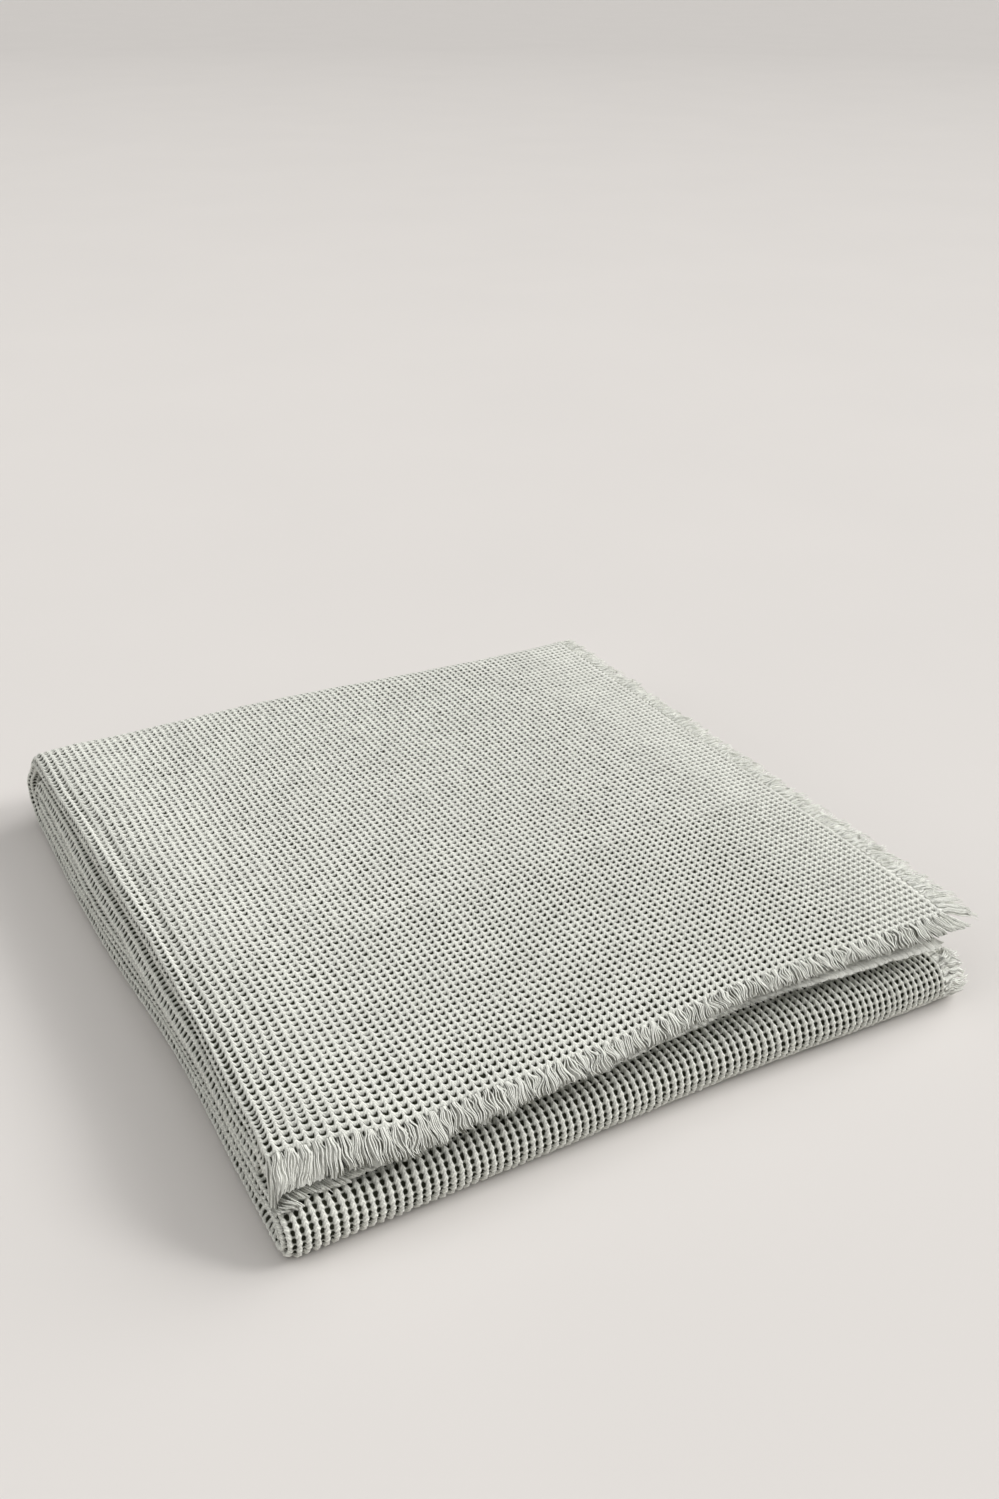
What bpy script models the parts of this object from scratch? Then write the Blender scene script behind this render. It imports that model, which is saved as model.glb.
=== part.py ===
"""Waffle weave cotton blanket, folded in thirds across and twice along, with a cut fringe.

Metres, +Z up. The origin is on the surface that the stack rests on, under the middle of its lower
leaves. +X runs along the front fold to the side with the raw, fringed edge, and +Y to the back.

A place in the flat cloth is (across, down): across from the long raw edge that ends up on the right,
down from the short raw edge that ends up at the front. The cloth is first folded in thirds across,
which makes a leaf of layers, and the leaf is then folded twice along its length.
"""
import math
import random
from collections import namedtuple

import bmesh
import bpy

# Cloth
LAYER = 0.0044                 # thickness of one layer of waffle cloth
LAYER_STEP = 0.0065            # from the middle of one layer in a leaf to the next
LEAF_STEP = 0.0179             # from the middle of one leaf to the next
LEAF_HALF = LAYER_STEP + LAYER / 2
PART_GAP = 0.0007              # left between the cloth and a fringe's backing

# Folded stack
STACK_WIDTH = 0.490            # left fold to the root of the fringe on the right
STACK_DEPTH = 0.563            # front fold to back fold
INNER_SHORT = 0.040            # the tucked third ends this far from the left fold
TUCK_SHORT = 0.006             # its own fold lies this far inside the raw edge
UPPER_END_BACK = 0.016         # the top leaf ends this far behind the front fold's nose
SECOND_END_BACK = 0.044        # and the leaf under it this far
INNER_BACK_SHORT = 0.004       # the inner back fold lies this far inside the outer one

MERGE = 0.001                  # places nearer than this along a route are one

# Fringe
STRIP = 0.0035                 # depth of the cloth that a fringe is rooted in
FRINGE = 0.0185                # length of the fringe past its root
LOCK_TAPER = (1.0, 0.66, 0.60, 0.46)    # a lock's width from root to tip, as a share
LOCK_SIDE_LEAN = 0.0014        # how far a tip may lie to either side of its root
LOCK_LENGTH_SPREAD = 0.14      # how much shorter or longer a lock may be, as a share
FINE_LOCK = 0.0082             # width of a lock at its root, where the fringe shows most
COARSE_LOCK = 0.0165           # and where it lies inside or under the stack
HANG_RADIUS = 0.010            # the curve in which a limp strand turns down

# How the stack settles
RIGHT_LEAN = 0.008             # the top leaf lies this far to the right of the lower two
BACK_SKEW = 0.023              # the back fold comes forward this far at its right end
SKEW_FROM_X = -0.10
SKEW_Y = (-0.10, 0.22)         # where the skew sets in and where it is whole
LEFT_DRAWN_IN = 0.004          # the left folds lie this far in at the back
DRAWN_Y = (0.10, 0.26)
DROOP_START_Y = -0.215         # in front of this the top leaf droops
DROOP_SPAN = 0.050             # and this far on it has drooped by the amount in FRONT_EDGE
DROOP_LEVELS = 0.5             # its slope then levels out over this share of the span

LEAF_1, LEAF_2, LEAF_3, LEAF_4 = (LEAF_HALF + LEAF_STEP * n for n in (3, 2, 1, 0))
FRONT_RADIUS = LEAF_STEP / 2
BACK_RADIUS = (LEAF_1 - LEAF_4) / 2
FRONT_CENTRE_Y = -STACK_DEPTH / 2 + FRONT_RADIUS + LEAF_HALF
BACK_CENTRE_Y = STACK_DEPTH / 2 - BACK_RADIUS - LEAF_HALF
LEFT_X = -STACK_WIDTH / 2
RIGHT_X = STACK_WIDTH / 2

Stretch = namedtuple("Stretch", "name length turn steps")   # turn in degrees, left positive
Drop = namedtuple("Drop", "x droop forward hang low_hang")   # hangs in degrees

# The raw front edge of the top leaf, from left to right: how far the leaf has drooped at its edge,
# how far the edge lies ahead of its mean line, and the angles at which the fringe of the leaf's
# upper and lower layers hangs from it. The cloth is divided across at these places.
FRONT_EDGE = (
    Drop(-0.245, 0.0100, -0.015, 22, 2),
    Drop(-0.233, 0.0100, -0.015, 24, 3),
    Drop(-0.175, 0.0080, 0.000, 36, 26),
    Drop(-0.115, 0.0060, 0.001, 40, 38),
    Drop(-0.020, 0.0055, 0.000, 38, 40),
    Drop(0.070, 0.0046, -0.006, 34, 36),
    Drop(0.145, 0.0034, -0.002, 28, 32),
    Drop(0.215, 0.0030, 0.002, 22, 28),
    Drop(0.255, 0.0030, 0.004, 18, 26),
)


def smooth(low, high, value):
    """0 at low and on its far side, 1 from high on, and an even ease between them."""
    share = min(max((value - low) / (high - low), 0.0), 1.0)
    return share * share * (3 - 2 * share)


def droop_share(past):
    """The droop at so many spans past its start: ever steeper up to 1, then levelling out."""
    if past < 1:
        return past * past
    further = min(past - 1, DROOP_LEVELS)
    return 1 + 2 * further * (1 - further / DROOP_LEVELS / 2)


def front_edge(x):
    """FRONT_EDGE at x, in straight lines from row to row."""
    if x <= FRONT_EDGE[0].x:
        return FRONT_EDGE[0]
    for left, right in zip(FRONT_EDGE, FRONT_EDGE[1:]):
        if x <= right.x:
            share = (x - left.x) / (right.x - left.x)
            return Drop(*(a + (b - a) * share for a, b in zip(left, right)))
    return FRONT_EDGE[-1]


class Route:
    """A path in a plane made of straight stretches and round turns, met end to end."""

    def __init__(self, start, heading, stretches):
        self.legs = []
        self.length = 0.0
        point = start
        for stretch in stretches:
            self.legs.append((self.length, point, heading, stretch))
            point = self._walk(point, heading, stretch, stretch.length)
            heading += math.radians(stretch.turn)
            self.length += stretch.length

    @staticmethod
    def _walk(point, heading, stretch, distance):
        if not stretch.turn:
            return point[0] + distance * math.cos(heading), point[1] + distance * math.sin(heading)
        radius = stretch.length / math.radians(stretch.turn)
        end = heading + distance / radius
        return (point[0] + radius * (math.sin(end) - math.sin(heading)),
                point[1] - radius * (math.cos(end) - math.cos(heading)))

    def at(self, distance):
        """The point at this distance, and the direction to its left there."""
        start, point, heading, stretch = next(
            (leg for leg in reversed(self.legs) if leg[0] <= distance), self.legs[0])
        run = distance - start
        point = self._walk(point, heading, stretch, run)
        if stretch.turn:
            heading += math.radians(stretch.turn) * run / stretch.length
        return point, (-math.sin(heading), math.cos(heading))

    def leg(self, name):
        return next(leg for leg in self.legs if leg[3].name == name)

    def start_of(self, name):
        return self.leg(name)[0]

    def end_of(self, name):
        return self.start_of(name) + self.leg(name)[3].length

    def stations(self, first, last):
        """The distances at which the cloth is divided, between two given ones.

        A turn is divided evenly. So is a straight stretch, or else, where it has no steps, it is
        divided at the places of FRONT_EDGE.
        """
        found = []
        for start, point, _, stretch in self.legs:
            if stretch.steps:
                found += [start + stretch.length * n / stretch.steps for n in range(stretch.steps + 1)]
            else:
                reach = [abs(row.x - point[0]) for row in FRONT_EDGE[1:-1]]
                found += [start] + sorted(start + r for r in reach if r < stretch.length)
        inside = [d for d in sorted(set(found)) if first + MERGE < d < last - MERGE]
        spaced = [d for d, following in zip(inside, inside[1:] + [last]) if following - d > MERGE]
        return [first] + spaced + [last]


# Across the leaf: the upper third, the left fold, the lower third, the hidden fold on the right and
# the tucked third between the other two. The path's plane is (x, height over the leaf's middle).
UPPER_RUN = STACK_WIDTH - LEAF_HALF
LOWER_RUN = UPPER_RUN - TUCK_SHORT - LAYER_STEP / 2 - LAYER / 2
ACROSS = Route((RIGHT_X, LAYER_STEP), math.pi, (
    Stretch("upper", UPPER_RUN, 0, 0),
    Stretch("left fold", math.pi * LAYER_STEP, 180, 6),
    Stretch("lower", LOWER_RUN, 0, 0),
    Stretch("tuck fold", math.pi * LAYER_STEP / 2, 180, 5),
    Stretch("tucked", LOWER_RUN - INNER_SHORT, 0, 0),
))

# Along the leaf, in the plane (y, z): from the raw end on top, round the back and under, round the
# front fold, back, round the inner back fold and forward to the other raw end.
UPPER_END_Y = -STACK_DEPTH / 2 + UPPER_END_BACK
SECOND_END_Y = -STACK_DEPTH / 2 + SECOND_END_BACK
INNER_BACK_Y = BACK_CENTRE_Y - INNER_BACK_SHORT
ALONG = Route((UPPER_END_Y, LEAF_1), 0.0, (
    Stretch("leaf 1 front", DROOP_START_Y + DROOP_SPAN - UPPER_END_Y, 0, 6),
    Stretch("leaf 1", BACK_CENTRE_Y - DROOP_START_Y - DROOP_SPAN, 0, 6),
    Stretch("back fold", math.pi * BACK_RADIUS, -180, 12),
    Stretch("leaf 4", BACK_CENTRE_Y - FRONT_CENTRE_Y, 0, 6),
    Stretch("front fold", math.pi * FRONT_RADIUS, -180, 9),
    Stretch("leaf 3", INNER_BACK_Y - FRONT_CENTRE_Y, 0, 6),
    Stretch("inner back fold", math.pi * FRONT_RADIUS, 180, 8),
    Stretch("leaf 2", INNER_BACK_Y - SECOND_END_Y, 0, 6),
))

# The long raw edge lies on the right, one row of fringe for each of these.
SideRow = namedtuple("SideRow", "name stretches pitch")
SIDE_ROWS = (
    SideRow("side_fringe_top_leaf", ("leaf 1 front", "leaf 1"), FINE_LOCK),
    SideRow("side_fringe_back_fold", ("back fold",), FINE_LOCK),
    SideRow("side_fringe_bottom_leaf", ("leaf 4",), COARSE_LOCK),
    SideRow("side_fringe_front_fold", ("front fold",), FINE_LOCK),
    SideRow("side_fringe_third_leaf", ("leaf 3",), COARSE_LOCK),
    SideRow("side_fringe_second_leaf", ("leaf 2",), COARSE_LOCK),
)


def settle(x, y, z, level):
    """Move a point of the squarely folded stack to where the soft stack has settled.

    level is the height that the point's cloth has in the square stack, also where its fringe hangs.
    """
    top_leaf = smooth(LEAF_2 + LAYER_STEP, LEAF_1 - LAYER_STEP, level)
    edge = front_edge(x)
    past = max(0.0, (DROOP_START_Y - y) / DROOP_SPAN)
    ahead = -edge.forward * smooth(0.0, 1.0, past) * top_leaf
    droop = edge.droop * droop_share(past) * top_leaf
    skew = BACK_SKEW * smooth(*SKEW_Y, y) * smooth(SKEW_FROM_X, RIGHT_X, x)
    drawn = LEFT_DRAWN_IN * smooth(*DRAWN_Y, y) * smooth(0.0, LEFT_X, x)
    lean = RIGHT_LEAN * smooth(LEAF_3 + LEAF_HALF, LEAF_1, level)
    return x + lean + drawn, y + ahead - skew, z - droop


def place(across, down):
    """Where a place in the flat cloth comes to lie. Negative distances are in the fringe."""
    (x, height), _ = ACROSS.at(across)
    (y, z), normal = ALONG.at(max(down, 0.0))
    y += height * normal[0]
    z += height * normal[1]
    level = z
    if down < 0:
        edge = front_edge(x)
        share = smooth(-LAYER_STEP, LAYER_STEP, height)
        hang = math.radians(edge.low_hang + (edge.hang - edge.low_hang) * share)
        angle = min(-down / HANG_RADIUS, hang)
        straight = -down - HANG_RADIUS * angle
        y -= HANG_RADIUS * math.sin(angle) + straight * math.cos(angle)
        z -= HANG_RADIUS * (1 - math.cos(angle)) + straight * math.sin(angle)
    return settle(x, y, z, level)


def cotton(name, colour):
    """A matt cotton material."""
    material = bpy.data.materials.new(name)
    material.use_nodes = True
    shader = material.node_tree.nodes["Principled BSDF"]
    shader.inputs["Base Color"].default_value = (*colour, 1)
    shader.inputs["Roughness"].default_value = 0.9
    return material


def finish_sheet(name, mesh, material, collection):
    """Make an object of an open sheet's mesh and give it the cloth's thickness."""
    blanket_piece = bpy.data.objects.new(name, mesh)
    collection.objects.link(blanket_piece)
    mesh.materials.append(material)
    mesh.shade_smooth()
    thicken = blanket_piece.modifiers.new("thickness", "SOLIDIFY")
    thicken.thickness = LAYER
    thicken.offset = 0.0


def fold_cloth(name, material, collection):
    """The whole cloth as one sheet, from edge strip to edge strip."""
    across = ACROSS.stations(STRIP + PART_GAP, ACROSS.length)
    down = ALONG.stations(STRIP + PART_GAP, ALONG.length)
    sheet = bmesh.new()
    bmesh.ops.create_grid(sheet, x_segments=len(across) - 1, y_segments=len(down) - 1, size=0.5)
    for vert in sheet.verts:
        column = round((vert.co.x + 0.5) * (len(across) - 1))
        row = round((vert.co.y + 0.5) * (len(down) - 1))
        vert.co = place(across[column], down[row])
    mesh = bpy.data.meshes.new(name)
    sheet.to_mesh(mesh)
    sheet.free()
    finish_sheet(name, mesh, material, collection)


def comb(name, lay, marks, pitch, rings, material, collection):
    """A strip of the cloth's edge with locks of fringe rooted in it.

    lay(run, out) gives the place for a distance along the edge and one out past the root. marks are
    the distances along the edge at which the cloth is divided, and the strip is divided there too.
    """
    chance = random.Random(name)
    edge = [marks[0]]
    for start, end in zip(marks, marks[1:]):
        locks = max(1, round((end - start) / pitch))
        edge += [start + (end - start) * (n + 1) / locks for n in range(locks)]
    flat = bmesh.new()
    back = [flat.verts.new(lay(run, -STRIP)) for run in edge]
    root = [flat.verts.new(lay(run, 0.0)) for run in edge]
    for n in range(len(edge) - 1):
        flat.faces.new((back[n], back[n + 1], root[n + 1], root[n]))
        width = edge[n + 1] - edge[n]
        length = FRINGE * (1 + LOCK_LENGTH_SPREAD * chance.uniform(-1, 1))
        side = LOCK_SIDE_LEAN * chance.uniform(-1, 1)
        pair = root[n], root[n + 1]
        for ring in range(1, rings + 1):
            share = ring / rings
            half = width / 2 * LOCK_TAPER[round(share * (len(LOCK_TAPER) - 1))]
            middle = edge[n] + width / 2 + side * share
            tip = [flat.verts.new(lay(middle + turn * half, length * share)) for turn in (-1, 1)]
            flat.faces.new((pair[0], pair[1], tip[1], tip[0]))
            pair = tip
    mesh = bpy.data.meshes.new(name)
    flat.to_mesh(mesh)
    flat.free()
    finish_sheet(name, mesh, material, collection)


def front_lay(run, out):
    return place(run, -out)


def side_lay(run, out):
    return place(-out, run)


def fringe(material, collection):
    """Every stretch of raw edge that shows, each with its own row of locks."""
    corner = STRIP + PART_GAP
    fold_end = ACROSS.end_of("left fold")
    upper = ACROSS.stations(corner, fold_end)
    lower = ACROSS.stations(fold_end + PART_GAP, ACROSS.end_of("lower"))
    comb("front_fringe_upper", front_lay, upper, FINE_LOCK, 3, material, collection)
    comb("front_fringe_lower", front_lay, lower, COARSE_LOCK, 2, material, collection)
    for name, stretches, pitch in SIDE_ROWS:
        marks = ALONG.stations(ALONG.start_of(stretches[0]), ALONG.end_of(stretches[-1]) - PART_GAP)
        comb(name, side_lay, marks, pitch, 2, material, collection)


def main():
    for old in list(bpy.data.objects):
        bpy.data.objects.remove(old)
    blanket = bpy.data.collections.new("waffle_blanket")
    bpy.context.scene.collection.children.link(blanket)
    fold_cloth("blanket_cloth", cotton("waffle_cotton", (0.54, 0.55, 0.50)), blanket)
    fringe(cotton("fringe_cotton", (0.57, 0.58, 0.53)), blanket)


main()
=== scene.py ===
"""Looks of the folded waffle weave cotton blanket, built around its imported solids.

Metres, +Z up, in the part's own frame: the origin is on the surface under the middle of the stack,
+X runs along the front fold to the raw, fringed side, and +Y to the back fold.

A place in the flat cloth is (across, down): across from the long raw edge on the right, down from the
short raw edge at the front. lift is how far a point lies off the middle of the cloth's thickness,
positive on the side that shows. The folds below are those of the solids, with the same sizes.
"""
import math
from collections import namedtuple

import bpy
import numpy as np
from mathutils import Matrix, Vector

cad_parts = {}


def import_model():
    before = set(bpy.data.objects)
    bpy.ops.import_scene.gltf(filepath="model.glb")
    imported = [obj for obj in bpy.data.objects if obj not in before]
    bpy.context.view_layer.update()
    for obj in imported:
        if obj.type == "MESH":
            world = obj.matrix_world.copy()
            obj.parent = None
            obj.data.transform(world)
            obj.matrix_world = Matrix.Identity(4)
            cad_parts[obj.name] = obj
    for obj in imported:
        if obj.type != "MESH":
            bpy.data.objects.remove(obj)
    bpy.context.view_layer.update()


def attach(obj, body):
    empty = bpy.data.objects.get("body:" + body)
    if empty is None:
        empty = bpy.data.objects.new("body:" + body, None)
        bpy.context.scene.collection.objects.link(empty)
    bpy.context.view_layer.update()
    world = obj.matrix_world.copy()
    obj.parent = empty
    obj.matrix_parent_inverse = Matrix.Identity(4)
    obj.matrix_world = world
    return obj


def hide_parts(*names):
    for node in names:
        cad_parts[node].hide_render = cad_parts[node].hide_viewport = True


# Cloth, folded stack and fringe, as in the solids
LAYER = 0.0044  # thickness of one layer of waffle cloth
LAYER_STEP = 0.0065  # from the middle of one layer in a leaf to the next
LEAF_STEP = 0.0179  # from the middle of one leaf to the next
LEAF_HALF = LAYER_STEP + LAYER / 2
STACK_WIDTH = 0.490
STACK_DEPTH = 0.563
INNER_SHORT = 0.040
TUCK_SHORT = 0.006
UPPER_END_BACK = 0.016
SECOND_END_BACK = 0.044
INNER_BACK_SHORT = 0.004
FRINGE = 0.0185
HANG_RADIUS = 0.010

# How the stack settles, as in the solids
RIGHT_LEAN = 0.008
BACK_SKEW = 0.023
SKEW_FROM_X = -0.10
SKEW_Y = (-0.10, 0.22)
LEFT_DRAWN_IN = 0.004
DRAWN_Y = (0.10, 0.26)
DROOP_START_Y = -0.215
DROOP_SPAN = 0.050
DROOP_LEVELS = 0.5

FLOOR_GAP = 0.0001  # the lowest that any yarn lies, pressed flat by the weight above it
FRINGE_GAP = 0.0003  # and that the side's fringe does
REST_GAP = 0.0012  # between the top leaf's low layers and the third leaf, where they rest on it
REST_X = (-0.165, -0.215)  # from none to all
REST_RUN = 0.014  # how far ahead of the second leaf's end they have come down
LOW_LEFT_IN = 0.005  # how far the low leaves are drawn in on the left, ahead of the middle
LOW_LEFT_X = -0.10  # from where on
LOW_LEFT_Y = (-0.085, 0.17)  # where most, and how far from there it reaches
CORNER_HELD = 0.0055  # how much less the stack leans at its front left corner
CORNER_X = -0.12  # from where on
CORNER_Y = (-0.10, -0.21)  # from none to all
POCKET_DEPTH = 0.010  # the hollow in the left end of the front fold
POCKET_X = 0.012  # how far in from the left end it reaches
POCKET_Y = (-0.246, 0.011)  # where, and how far it reaches each way
POCKET_Z = (0.0185, 0.0050)
FRONT_OUT = 0.0070  # how far the front fold has slid out at its right end
FRONT_OUT_X = (0.04, 0.245)  # from none to all
FRONT_OUT_Y = (-0.06, -0.24)

LEAF_1, LEAF_2, LEAF_3, LEAF_4 = (LEAF_HALF + LEAF_STEP * n for n in (3, 2, 1, 0))
FRONT_RADIUS = LEAF_STEP / 2
BACK_RADIUS = (LEAF_1 - LEAF_4) / 2
FRONT_CENTRE_Y = -STACK_DEPTH / 2 + FRONT_RADIUS + LEAF_HALF
BACK_CENTRE_Y = STACK_DEPTH / 2 - BACK_RADIUS - LEAF_HALF
LEFT_X = -STACK_WIDTH / 2
RIGHT_X = STACK_WIDTH / 2

Stretch = namedtuple("Stretch", "name length turn cell_length")  # turn in degrees, left positive
Drop = namedtuple("Drop", "x droop forward hang low_hang")  # hangs in degrees

# The top leaf's front edge, and how steeply its upper and its lower fringe hang
FRONT_EDGE = (
    Drop(-0.245, 0.0100, -0.015, 46, 2),
    Drop(-0.233, 0.0100, -0.015, 34, 3),
    Drop(-0.175, 0.0080, 0.000, 36, 26),
    Drop(-0.115, 0.0060, 0.001, 40, 38),
    Drop(-0.020, 0.0055, 0.000, 38, 40),
    Drop(0.070, 0.0046, -0.006, 34, 36),
    Drop(0.145, 0.0034, -0.002, 28, 32),
    Drop(0.215, 0.0030, 0.002, 22, 28),
    Drop(0.255, 0.0030, 0.004, 18, 26),
)

Crease = namedtuple("Crease", "x y heading length width height")  # heading in degrees from +X

# Soft ridges and troughs of the top leaf
CREASES = (
    Crease(-0.205, -0.02, 91, 0.30, 0.024, 0.0034),
    Crease(-0.235, -0.08, 87, 0.13, 0.0050, -0.0026),
    Crease(-0.233, 0.138, 93, 0.09, 0.0050, -0.0024),
    Crease(-0.130, 0.08, 104, 0.17, 0.030, -0.0010),
    Crease(-0.060, -0.17, 62, 0.12, 0.034, -0.0009),
    Crease(0.050, 0.05, 118, 0.15, 0.040, 0.0007),
    Crease(0.140, -0.12, 78, 0.13, 0.030, -0.0006),
    Crease(0.150, 0.17, 35, 0.12, 0.032, 0.0007),
    Crease(-0.020, 0.20, 12, 0.16, 0.026, -0.0007),
    Crease(0.205, -0.02, 96, 0.20, 0.022, 0.0009),
)

# Waffle weave
WALE = 0.0055  # from one raised wale to the next
ROW = 0.00529  # from one cross bar to the next
RELIEF = 0.0033  # from the crest of a wale to the floor of a pit
BAR_HEIGHT = 0.70  # of the relief
WALE_HALF = 0.310  # half a wale's width, as a share of its pitch
WALE_SCALLOP = 0.050  # and how much wider it is at a bar
WALE_DIP = 0.16  # and how much lower between bars, of the relief
KEEPS_PITCH = 0.001  # how far outside a layer's middle its weave keeps its pitch
OUTER = LAYER_STEP + KEEPS_PITCH  # and how far outside the leaf's middle the outer layer does
SHEET_LIFT = -0.0018  # the thin sheet under the weave
SHEET_THICKNESS = 0.0008

# A detail says where a cell is divided: across in half widths of its wale, down in rows
Detail = namedtuple("Detail", "wale_lines row_lines")
FINE = Detail((-1.15, -0.80, -0.35, 0.35, 0.80, 1.15), (-0.35, -0.18, 0.0, 0.18, 0.35))
PLAIN = Detail((-1.15, -0.60, 0.60, 1.15), (-0.35, -0.18, 0.18, 0.35))
LOW = Detail((0.0, 0.5 / WALE_HALF), (0.0, 0.5))
RIBS = Detail((0.0, 0.5 / WALE_HALF), (0.0,))
WALE_PROFILE = ((0.0, 0.35, 0.60, 0.80, 1.15), (1.0, 0.97, 0.86, 0.68, 0.0))  # half widths, height
BAR_PROFILE = ((0.18, 0.35), (1.0, 0.0))  # rows, height

SHEET_WALES = (64, 7)  # lines that the thin sheet is divided at, in all and in each turn
SHEET_ROWS = (112, 10)
EDGE_CELL = 0.25  # where the first wale is cut off at the raw long edge
FINE_ROWS = 34  # of the top leaf, that the finer skin covers
PAST_FOLD = 2  # how many cells past a fold its stretch and its skin reach
PAST_FRONT = 4  # and past the front fold, in the third leaf
PAST_TUCK = 1  # and past the tuck fold, where the cloth isn't stretched
# Pulled open, the weave's bars sink and thin, and the material paints more shade in its pits and valleys;
# closed up, it is shallower and gets less painted shade. Around the front fold the opening grows towards the
# left fold, which paints that fold darker towards its left end.
LEFT_OPEN = 0.28  # how far the weave is pulled open around the left fold
FRONT_OPEN = (0.85, 1.25)  # and around the front fold, by the raw edge and by the left fold
EDGE_CLOSED = 0.52  # how far the weave is closed up by the raw long edge
EDGE_CLOSED_WALES = (24, 1)  # from none to all
FRONT_SHARE = 0.4  # of that closing up, what is left around the front fold
BAR_SINK = 0.48  # how much lower the bars lie where the weave is pulled open
BAR_THINNED = 0.20  # and how much narrower they are
CLOSED_SHALLOWER = 0.6  # how much of its relief the weave loses where it is closed up
EDGE_CLEAR = 0.04  # of a cell, between a skin's end and its next line
TABLE_SIZE = (280, 440)  # wales and rows that the tables of uneven cells hold
LINE_SHIFT = 0.025  # of a cell, how far whole wales and rows stray
CROSSING_SHIFT = 0.038  # and each crossing of the two
CROSSING_SWELL = 0.06  # of its height
BAR_SAG = 0.12  # of a cell, how far a bar's middle lies ahead of its crossings
SHIFT_ACROSS = 0.0011  # slow waves that shift the weave in its own plane
SHIFT_DOWN = 0.0010
SHIFT_SHORT = 0.0005  # and shorter ones

STRANDS_SEED = 5
WEAVE_SEED = 3
LINES_SEED = 10  # and one more for the rows


def smooth(low, high, value):
    """0 at low and on its far side, 1 from high on, and an even ease between them."""
    share = np.clip((value - low) / (high - low), 0.0, 1.0)
    return share * share * (3 - 2 * share)


def spans_past(y):
    """How many spans in front of the start of the droop y lies."""
    return np.maximum(0.0, (DROOP_START_Y - y) / DROOP_SPAN)


def droop_share(past):
    """The droop at so many spans past its start: ever steeper up to 1, then levelling out."""
    further = np.clip(past - 1, 0.0, DROOP_LEVELS)
    return np.clip(past, 0, 1) ** 2 + 2 * further * (1 - further / DROOP_LEVELS / 2)


def front_edge(x):
    """FRONT_EDGE at x, in straight lines from row to row."""
    columns = list(zip(*FRONT_EDGE))
    return Drop(x, *(np.interp(x, columns[0], column) for column in columns[1:]))


class Route:
    """A path in a plane made of straight stretches and round turns, met end to end."""

    def __init__(self, start, heading, stretches):
        self.names = [stretch.name for stretch in stretches]
        self.legs = []
        self.length = 0.0
        self.cells = [0.0]
        self.ends = [0.0]
        point = np.array(start)
        for stretch in stretches:
            self.legs.append((self.length, point, heading, stretch))
            point = np.array(self._walk(point, heading, stretch, stretch.length))
            heading += math.radians(stretch.turn)
            self.length += stretch.length
            self.ends.append(self.length)
            self.cells.append(self.cells[-1] + stretch.cell_length)

    @staticmethod
    def _walk(point, heading, stretch, distance):
        if not stretch.turn:
            return point[0] + distance * math.cos(heading), point[1] + distance * math.sin(heading)
        radius = stretch.length / math.radians(stretch.turn)
        end = heading + distance / radius
        return (point[0] + radius * (np.sin(end) - math.sin(heading)),
                point[1] - radius * (np.cos(end) - math.cos(heading)))

    def at(self, distance):
        """Both coordinates of the points at these distances, and of the directions to their left."""
        distance = np.asarray(distance, float)
        found = np.zeros((4, *distance.shape))
        for start, point, heading, stretch in self.legs:
            here = distance >= start if start else np.isfinite(distance)
            run = distance[here] - start
            found[0][here], found[1][here] = self._walk(point, heading, stretch, run)
            turned = heading + math.radians(stretch.turn) * run / stretch.length
            found[2][here] = -np.sin(turned)
            found[3][here] = np.cos(turned)
        return found

    def cells_to(self, name):
        """How many cells come before the stretch of this name."""
        return self.cells[self.names.index(name)]

    def start_of(self, name):
        """The distance at which the stretch of this name starts."""
        return self.ends[self.names.index(name)]

    def turns(self):
        """The first and the last cell of each turn."""
        turned = [bool(leg[3].turn) for leg in self.legs]
        return [(self.cells[n], self.cells[n + 1]) for n in range(len(turned)) if turned[n]]

    def of_cells(self, cells):
        """The distance at which so many cells have passed."""
        return np.interp(cells, self.cells, self.ends)


def straight(name, length, pitch):
    return Stretch(name, length, 0, length / pitch)


def turning(name, radius, turn, outer, pitch):
    """A turn, in degrees, whose cells keep their pitch as far outside its own line as outer says."""
    angle = math.radians(abs(turn))
    return Stretch(name, angle * radius, turn, angle * (radius + outer) / pitch)


CLOSE_RUN = 0.075  # how far the wales lie closer, from the raw long edge
CLOSE_WALE = 0.0049
WIDE_RUN = 0.085  # and wider, up to the left fold
WIDE_WALE = 0.0058
UPPER_RUN = STACK_WIDTH - LEAF_HALF
LOWER_RUN = UPPER_RUN - TUCK_SHORT - LAYER_STEP / 2 - LAYER / 2
ACROSS = Route((RIGHT_X, LAYER_STEP), math.pi, (
    straight("upper right", CLOSE_RUN, CLOSE_WALE),
    straight("upper", UPPER_RUN - CLOSE_RUN - WIDE_RUN, WALE),
    straight("upper left", WIDE_RUN, WIDE_WALE),
    turning("left fold", LAYER_STEP, 180, KEEPS_PITCH, WALE),
    straight("lower", LOWER_RUN, WALE),
    turning("tuck fold", LAYER_STEP / 2, 180, KEEPS_PITCH, WALE),
    straight("tucked", LOWER_RUN - INNER_SHORT, WALE),
))
UPPER_END_Y = -STACK_DEPTH / 2 + UPPER_END_BACK
SECOND_END_Y = -STACK_DEPTH / 2 + SECOND_END_BACK
INNER_BACK_Y = BACK_CENTRE_Y - INNER_BACK_SHORT
ALONG = Route((UPPER_END_Y, LEAF_1), 0.0, (
    straight("leaf 1", BACK_CENTRE_Y - UPPER_END_Y, ROW),
    turning("back fold", BACK_RADIUS, -180, OUTER, ROW),
    straight("leaf 4", BACK_CENTRE_Y - FRONT_CENTRE_Y, ROW),
    turning("front fold", FRONT_RADIUS, -180, OUTER, ROW),
    straight("leaf 3", INNER_BACK_Y - FRONT_CENTRE_Y, ROW),
    turning("inner back fold", FRONT_RADIUS, 180, 0.0, ROW),
    straight("leaf 2", INNER_BACK_Y - SECOND_END_Y, ROW),
))


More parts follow.
